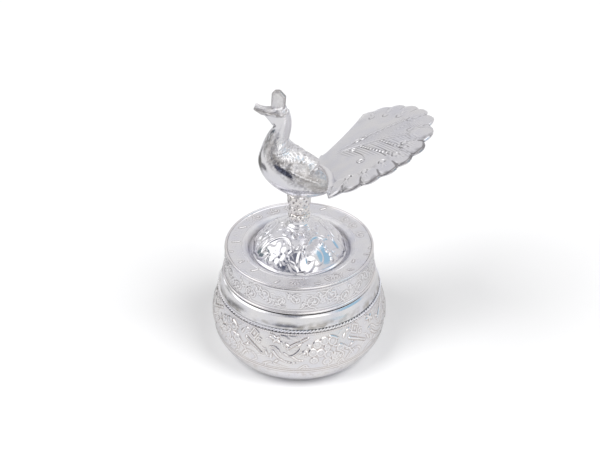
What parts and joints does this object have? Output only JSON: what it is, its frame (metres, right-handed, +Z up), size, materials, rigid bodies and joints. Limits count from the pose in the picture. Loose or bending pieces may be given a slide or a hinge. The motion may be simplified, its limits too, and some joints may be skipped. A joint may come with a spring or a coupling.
{
  "type": "lidded box",
  "caption": "Round-bellied metal powder box with a slip-over lid, a domed top and a peacock finial with a fanned tail.",
  "frame": {"origin": "centre of the flat underside of the base, on the axis of the box", "axes": "+Z up along the axis of the box, -X the way the peacock looks, +X the way its tail spreads, Y across it"},
  "size_m": [0.0607, 0.05, 0.0821],
  "materials": {
    "bowl": "silver, chased and softly polished",
    "base": "plain silver sheet, matt",
    "rope_wire": "twisted silver wire, darkened between the twists",
    "shoulder": "silver, mirror polished",
    "collar": "plain silver tube, satin from the lid",
    "lid_skirt": "silver with an engraved scroll band, satin",
    "lid_wires": "silver wire, softly polished",
    "lid_top": "silver, matt and engraved",
    "dome": "silver, embossed and mirror polished",
    "stem_foot": "silver, polished",
    "stem_collars": "silver with punched dots, darkened in the hollows",
    "fixings": "turned metal, plain",
    "peacock_body": "cast silver, polished breast and granular back",
    "peacock_tail": "cast silver, chased feathers, satin with polished edge",
    "peacock_crest": "cast silver, matt field and polished rim",
    "peacock_eyes": "silver grain, polished"
  },
  "bodies": {
    "box": {"bowl_shell": "bowl", "base_plate": "base", "rope_wire": "rope_wire", "shoulder_ring": "shoulder", "neck_collar": "collar"},
    "lid": {"lid_skirt": "lid_skirt", "lid_edge_bead": "lid_wires", "lid_top": "lid_top", "lid_rim_wire": "lid_wires", "lid_dome": "dome", "stem_foot": "stem_foot", "stem_collar_lower": "stem_collars", "stem_collar_middle": "stem_collars", "stem_collar_upper": "stem_collars", "finial_washer": "fixings", "finial_nut": "fixings", "finial_stem": "fixings", "peacock_body": "peacock_body", "peacock_tail": "peacock_tail", "peacock_crest": "peacock_crest", "peacock_eyes": "peacock_eyes"}
  },
  "joints": [
    {"name": "lid_lift", "type": "slide", "parent": "box", "child": "lid", "axis": [0, 0, 1], "range_m": [0, 0.05]}
  ]
}
